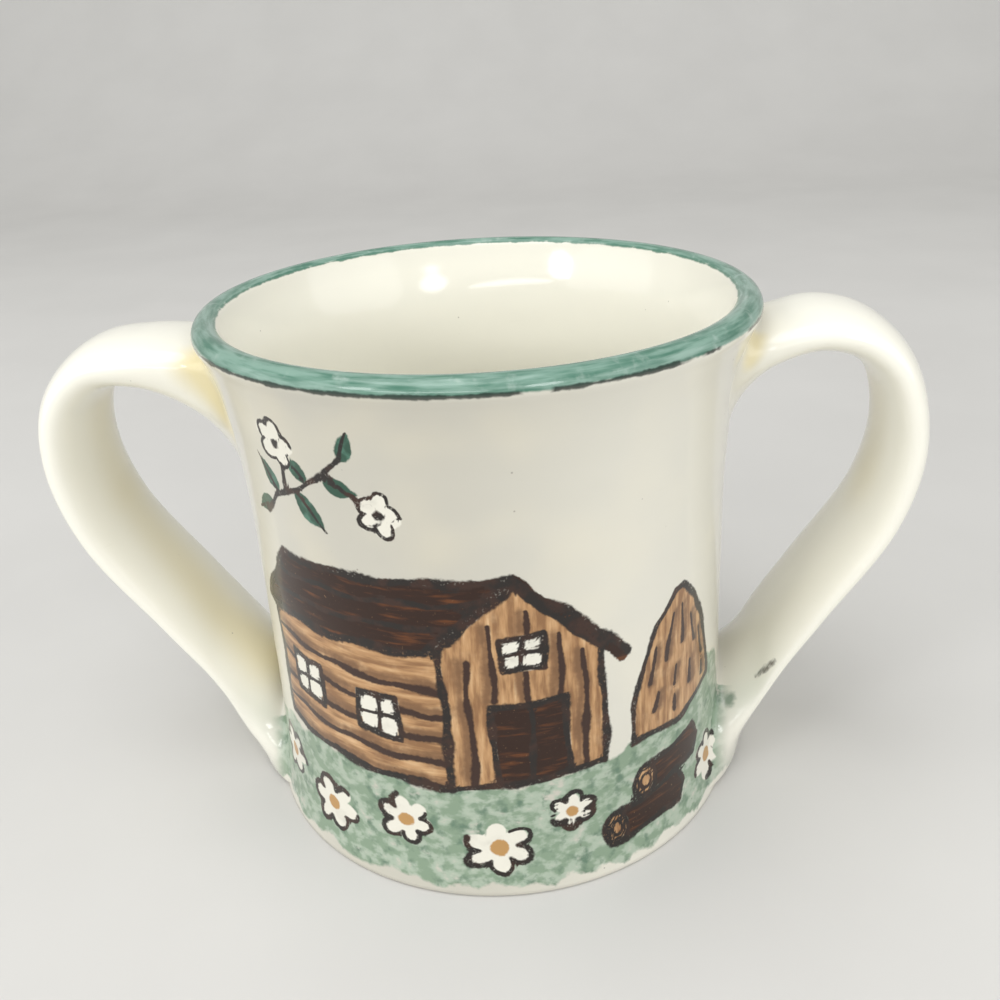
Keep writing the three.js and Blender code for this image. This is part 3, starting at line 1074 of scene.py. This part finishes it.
# The brush's marks. The finest real ones, grains of 0.1 mm, are drawn at 0.45 mm so that they show
GLAZE_PATTERNS = {
    "fine": (0.45, 1.0),
    "grain": (0.9, 2.0, (11.0, 3.0, 7.0)),
    "patch": (3.2, 3.0, (5.0, 17.0, 2.0)),
    "cloud": (14.0, 1.0, (31.0, 7.0, 19.0)),
    "level": (0.95, 3.0, (3.0, 9.0, 1.0), (0.15, 0.15, 1.0)),
    "standing": (0.95, 3.0, (13.0, 4.0, 6.0), (1.0, 1.0, 0.16)),
    "sponge": (2.1, 4.0, (2.0, 23.0, 13.0)),
    "strokes": (1.9, 3.0, (41.0, 1.0, 5.0), (0.7, 0.7, 1.0)),
    "breaks": (7.0, 1.0, (9.0, 2.0, 4.0)),
}

GLAZE_FIELDS = (*Canvas.LAYERS, "inside", "pale", "pooled", "unpainted", "smudge", "daub", "rim_low",
                "rim_high")


# Squeeze of the band's brush marks in x and y, which draws them out round the lip
BAND_SQUEEZE = 0.13


def lip_band(finish, colours):
    """The green band brushed round the lip, with a thick dark line along its lower edge."""
    tree, marks, fields = finish.tree, finish.marks, finish.fields
    across = add(tree, JOIN, {2: fields["rim_low"]})
    lumps = add(tree, VECTORS, finish.place, (BAND_SQUEEZE / MM, BAND_SQUEEZE / MM, 0.0), across,
                operation="MULTIPLY_ADD")
    marks["brushed"] = add(tree, NOISE, {"Vector": lumps, "Scale": 1.1, "Detail": 3.0})
    band = finish.mottled("brushed", 0.32, 0.66, colours.rim_dark, colours.rim)
    band = finish.mottled("sponge", 0.54, 0.95, band, colours.rim_light)
    within = add(tree, "MINIMUM", fields["rim_low"], fields["rim_high"])
    fields["band"] = add(tree, "MULTIPLY", within, -1.0)
    finish.lay(finish.cover("band", 0.2, patch=0.25, grain=0.15), 1.0, band)

    # The dark line along the lower edge, paint gathered under the band and painted shadow under the
    # lip's bead, breaks off here and there; the one inside is thin and pale
    lines = (
        ("rim_low", 0.30, colours.rim_line_and_shadow, 0.60, 0.66),
        ("rim_high", 0.22, colours.rim_dark, 0.7, 1.6),
    )
    for field, half, colour, low, high in lines:
        away = add(tree, "ABSOLUTE", fields[field])
        fields["edge"] = add(tree, "SUBTRACT", away, half)
        kept = add(tree, RANGE, marks["breaks"], low, high, 0.9, 0.0)
        finish.lay(finish.cover("edge", 0.16, grain=0.14, patch=0.4), kept, colour)


def painted_glaze(name, colours):
    """Cream slip with underglaze painting, under a clear gloss glaze. Hand-painted studio ware:
    the eye sees soft mottling, pinholes, brush streaks and broken outlines under the gloss."""
    glaze = Finish(name, GLAZE_PATTERNS, GLAZE_FIELDS)
    tree, marks, fields = glaze.tree, glaze.marks, glaze.fields
    for thin in Canvas.THIN:
        fields[thin] = thin_line(glaze, thin)

    # Ground: cream slip, with painted shade in the middle of the front and painted light toward the
    # sides, paler on the handles partly as painted light, paler inside as painted light, yellow where
    # the glaze has pooled, and warm painted shade on the straps' inner faces
    glaze.colour = glaze.mottled("cloud", 0.40, 0.80, colours.wall, colours.wall_warm)
    glaze.lay(fields["pale"], 1.0, colours.handle)
    glaze.lay(fields["inside"], 1.0, colours.inside)
    glaze.colour = glaze.mottled("level", 0.66, 1.6, glaze.colour, colours.wall_shade)
    # Pooled glaze, and warm painted shade on the straps' inner faces
    glaze.lay(fields["pooled"], 1.0, colours.pooled)

    # Boards: tan, streaked along the grain and darker where the wash has gathered at the seams
    marks["streaks"] = add(tree, MIX, glaze.cover("upright", 0.2), {
        2: marks["level"], 3: marks["standing"]}, data_type="FLOAT")
    tan = glaze.mottled("streaks", 0.34, 0.60, colours.timber_dark, colours.timber)
    tan = glaze.mottled("streaks", 0.54, 0.84, tan, colours.timber_light)
    tan = glaze.mottled("patch", 0.52, 1.05, tan, colours.timber_light)
    timber = glaze.cover("timber", 0.25, grain=0.22)
    glaze.lay(timber, 1.0, tan)
    glaze.lay(glaze.cover("shade", 0.7, patch=0.7, grain=0.4), timber, colours.timber_shade)
    seam = glaze.cover("seam", 0.18, grain=0.2, fine=0.1)
    glaze.lay(seam, timber, colours.seam)

    # Meadow: a streaky wash that lets the cream through and fades out up the handles
    green = glaze.mottled("strokes", 0.40, 0.58, colours.meadow_light, colours.meadow)
    green = glaze.mottled("sponge", 0.50, 0.74, green, colours.meadow_dark)
    green = glaze.mottled("strokes", 0.24, 0.40, colours.wall, green)
    bared = add(tree, "MAXIMUM", timber, fields["unpainted"])
    open_ground = add(tree, "SUBTRACT", 1.0, bared)
    glaze.lay(glaze.cover("meadow", 0.4, patch=0.9, grain=0.5), open_ground, green)

    # Dark brown: nearly opaque, rubbed reddish in streaks, with a few light grains
    dark = glaze.mottled("streaks", 0.52, 0.80, colours.brown, colours.brown_rubbed)
    dark = glaze.mottled("fine", 0.68, 1.05, dark, colours.timber)
    brown = glaze.cover("brown", 0.15, grain=0.25, fine=0.1)
    glaze.lay(brown, 1.0, dark)

    # White petals and panes with tan hearts, then leaves
    white = glaze.mottled("patch", 0.5, 1.0, colours.petal, colours.wall)
    petal = glaze.cover("petal", 0.2, grain=0.15)
    glaze.lay(petal, 1.0, white)
    glaze.lay(seam, petal, colours.heart)
    leafy = glaze.mottled("sponge", 0.46, 0.74, colours.leaf, colours.rim_dark)
    glaze.lay(glaze.cover("leaf", 0.15, grain=0.2, fine=0.1), 1.0, leafy)

    # Drawn outlines, charcoal to dark brown, thin where the brush skips over the slip
    ink = glaze.mottled("patch", 0.44, 0.66, colours.charcoal, colours.seam)
    skips = add(tree, RANGE, marks["fine"], 0.24, 0.40, 0.75, 1.0)
    glaze.lay(glaze.cover("outline", 0.16, grain=0.22, fine=0.08), skips, ink)
    glaze.lay(glaze.cover("smudge", 0.3, grain=0.3), 0.8, ink)
    glaze.lay(glaze.cover("daub", 0.6, grain=0.5), 0.75, colours.meadow_dark)

    lip_band(glaze, colours)
    glaze.lay(pinholes(glaze), 0.4, colours.seam)

    # The glaze lies in soft waves, a little duller where the paint is thick
    relief = add(tree, "MULTIPLY_ADD", marks["patch"], 0.08, marks["cloud"])
    bump = add(tree, "ShaderNodeBump", {"Strength": 0.18, "Distance": MM, "Height": relief})
    dull = add(tree, "MULTIPLY_ADD", brown, 0.5, marks["cloud"])
    return glaze.done({
        "Roughness": add(tree, RANGE, dull, 0.3, 1.2, 0.28, 0.42), "IOR": 1.5,
        "Specular IOR Level": 0.05, "Coat Weight": 0.8, "Coat Roughness": 0.1, "Coat IOR": 1.5,
        "Normal": bump})


def bare_clay(colours):
    """Bare fired earthenware under the foot: matt, buff and slightly gritty."""
    clay = Finish("bare_fired_earthenware", {"grit": (0.5, 3.0), "cloud": (9.0, 2.0)})
    clay.colour = clay.mottled("cloud", 0.35, 0.65, colours.clay, colours.clay_light)
    clay.colour = clay.mottled("grit", 0.60, 0.85, clay.colour, colours.timber_shade)
    bump = add(clay.tree, "ShaderNodeBump", {
        "Strength": 0.5, "Distance": 0.2 * MM, "Height": clay.marks["grit"]})
    return clay.done({"Roughness": 0.86, "Normal": bump})


# Pieces

# Angles on the lip's curve, in degrees, at which the green band's lower and upper edges lie
RIM_LOW_ANGLE = 2.0
RIM_HIGH_ANGLE = 134.0

# Lengths from the curve's inner end between which the cream turns into the paler one inside, which is
# painted light
INNER_EDGE = (-2.5, 2.0)

# Faces that lie lower than this, in millimetres, are left bare
FOOT_LIMIT = 0.1


def rim_fields(along, marks):
    """Lengths along the profile above the lower and below the upper edge of the green band."""
    arc = (marks[1] - marks[0]) / (LIP_END_ANGLE - LIP_START_ANGLE)
    low = marks[0] + arc * (RIM_LOW_ANGLE - LIP_START_ANGLE)
    high = marks[0] + arc * (RIM_HIGH_ANGLE - LIP_START_ANGLE)
    return {
        "rim_low": np.clip(along - low, -2 * FAR, 2 * FAR),
        "rim_high": np.clip(high - along, -2 * FAR, 2 * FAR),
    }


class CUP_OT_body(bpy.types.Operator):
    """Throw, join and glaze the body"""

    bl_idname = "cup.body"
    bl_label = "Body"

    def execute(self, context):
        colours = context.scene.cup_colours
        material = painted_glaze("clear_glazed_painted_slip", colours)
        mesh, marks = throw_body(context.scene.cup_sizes, material)
        points = corner_places(mesh)
        along = np.empty(len(points), np.float32)
        mesh.attributes["along"].data.foreach_get("value", along)
        mesh.attributes.remove(mesh.attributes["along"])
        inner = smooth_step(along - marks[1], *INNER_EDGE)
        # The wall turns paler away from its middle front: painted shade there, and painted light toward
        # the sides
        aside = np.abs(round_wall(points)[0] - SHADED_PLACE)
        paint(mesh, points, np.where(along > marks[0] - 1.0, FAR, 0.0), inside=inner,
              pale=WALL_PALENESS * smooth_step(aside, *SHADED_REACH),
              pooled=pooling_and_shade(points) * (1 - inner), **rim_fields(along, marks))

        mesh.materials.append(bare_clay(colours))
        low = np.array([all(points[v, 2] < FOOT_LIMIT for v in face.vertices) for face in mesh.polygons])
        mesh.polygons.foreach_set("material_index", low.astype(np.int32))
        body = place_object("painted_cup_body", mesh)
        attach(body, "root")
        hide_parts("cup_body")
        return {"FINISHED"}


class CUP_OT_handles(bpy.types.Operator):
    """Pull, join and glaze the two strap handles"""

    bl_idname = "cup.handles"
    bl_label = "Handles"

    def execute(self, context):
        outline = joint_outline(millimetres(context.scene.cup_sizes))
        material = painted_glaze("clear_glazed_cream_slip", context.scene.cup_colours)
        for strap in both_straps(context.scene.cup_straps):
            mesh = strap_mesh(strap.name, strap_skin(strap, outline))
            points = corner_places(mesh)
            gap = wall_gap(outline, points)
            nought = np.zeros(len(points))
            # The straps turn paler away from the wall, partly as painted light
            paler = WALL_PALENESS + (1 - WALL_PALENESS) * smooth_step(gap, 0.2, PALE_REACH)
            paint(mesh, points, gap, inside=nought, pale=paler, pooled=pooling_and_shade(points),
                  rim_low=nought - FAR, rim_high=nought - FAR)
            mesh.materials.append(material)
            handle = place_object(f"glazed_{strap.name}", mesh)
            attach(handle, "root")
            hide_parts(strap.name)
        return {"FINISHED"}


# Stage

CAMERA_PLACE = (17.21, -157.15, 127.76)
CAMERA_TARGET = (0.78, 11.97, 44.0)
CAMERA_ROLL = -3.46
CAMERA_LENS = 36.0
LIGHT_TARGET = (0.0, 0.0, 50.0)


def aim(name, data, place, target, roll=0.0):
    """Adds a camera or a lamp at a place in millimetres, turned to another and then rolled."""
    turn = (Vector(target) - Vector(place)).to_track_quat("-Z", "Y").to_matrix().to_4x4()
    made = place_object(name, data)
    made.matrix_world = (
        Matrix.Translation(Vector(place) * MM) @ turn @ Matrix.Rotation(math.radians(roll), 4, "Z"))
    return made


def place_camera():
    data = bpy.data.cameras.new("photo_camera")
    data.lens = CAMERA_LENS
    data.sensor_width = CAMERA_LENS
    data.clip_start, data.clip_end = 0.005, 20.0
    camera = aim("photo_camera", data, CAMERA_PLACE, CAMERA_TARGET, CAMERA_ROLL)
    bpy.context.scene.camera = camera


def place_light(name, place, size, power):
    """A lamp at a place in millimetres, its size in metres and its power in watts."""
    data = bpy.data.lights.new(name, "AREA")
    data.shape = "ELLIPSE"
    data.size, data.size_y = size
    data.energy = power
    aim(name, data, place, LIGHT_TARGET)


def stage_material():
    """Matt painted board: pale grey, with the faintest grain."""
    board = Finish("matt_painted_board", {"cloud": (60.0, 3.0)})
    board.colour = board.mottled("cloud", 0.0, 1.0, linear("#CDCCC9"), linear("#D4D3D0"))
    return board.done({"Roughness": 0.75})


class CUP_OT_stage(bpy.types.Operator):
    """Set up the floor, lights and camera"""

    bl_idname = "cup.stage"
    bl_label = "Stage"

    def execute(self, context):
        scene = context.scene
        light = scene.cup_light
        place_camera()

        # Floor that sweeps up into a backdrop
        turn = np.radians(np.linspace(0, 90, 24))
        run = [(-1.5, 0.0), (0.6, 0.0)]
        run += [(0.6 + 0.4 * math.sin(t), 0.4 - 0.4 * math.cos(t)) for t in turn[1:]]
        run.append((1.0, 2.2))
        points = [(x, y, z) for y, z in run for x in (-2.0, 2.0)]
        faces = [(2 * i, 2 * i + 1, 2 * i + 3, 2 * i + 2) for i in range(len(run) - 1)]
        mesh = bpy.data.meshes.new("floor")
        mesh.from_pydata(points, [], faces)
        mesh.shade_smooth()
        mesh.materials.append(stage_material())
        place_object("floor", mesh)

        place_light("overhead_panel", (-150, -100, 950), (0.9, 0.7), light.overhead)
        place_light("front_panel", (-250, -1000, 380), (0.9, 0.12), light.front)
        place_light("left_window", (-620, -660, 500), (0.22, 0.30), light.window)
        place_light("right_window", (420, -780, 460), (0.24, 0.28), light.window)
        place_light("left_panel", (-850, -300, 320), (0.9, 0.7), light.left)
        place_light("right_panel", (850, -250, 450), (0.9, 0.7), light.right)
        world = bpy.data.worlds.new("studio_room")
        world.use_nodes = True
        shade = world.node_tree.nodes["Background"].inputs
        shade["Color"].default_value = (*linear("#E9E9E8"), 1.0)
        shade["Strength"].default_value = light.room
        scene.world = world
        scene.view_settings.view_transform = "Standard"
        return {"FINISHED"}


class CUP_PT_panel(bpy.types.Panel):
    """Sizes, colours and lights of the cup, and what builds it"""

    bl_label = "Two-handled cup"
    bl_idname = "CUP_PT_panel"
    bl_space_type = "VIEW_3D"
    bl_region_type = "UI"
    bl_category = "Cup"

    def draw(self, context):
        for operator in OPERATORS:
            self.layout.operator(operator.bl_idname)
        for name, group in GROUPS.items():
            settings = getattr(context.scene, name)
            for prop in group.__annotations__:
                self.layout.prop(settings, prop, text=prop.replace("_", " ").capitalize())


OPERATORS = (CUP_OT_stage, CUP_OT_body, CUP_OT_handles)
GROUPS = {
    "cup_sizes": CupSizes,
    "cup_straps": StrapSizes,
    "cup_colours": GlazeColours,
    "cup_light": StudioLight,
}


CLASSES = (*GROUPS.values(), *OPERATORS, CUP_PT_panel)
add_classes, remove_classes = bpy.utils.register_classes_factory(CLASSES)


def register():
    add_classes()
    for name, group in GROUPS.items():
        setattr(bpy.types.Scene, name, PointerProperty(type=group))


def unregister():
    for name in GROUPS:
        delattr(bpy.types.Scene, name)
    remove_classes()


def main():
    register()
    bpy.ops.cup.stage()
    bpy.ops.cup.body()
    bpy.ops.cup.handles()


if __name__ == "__main__":
    main()
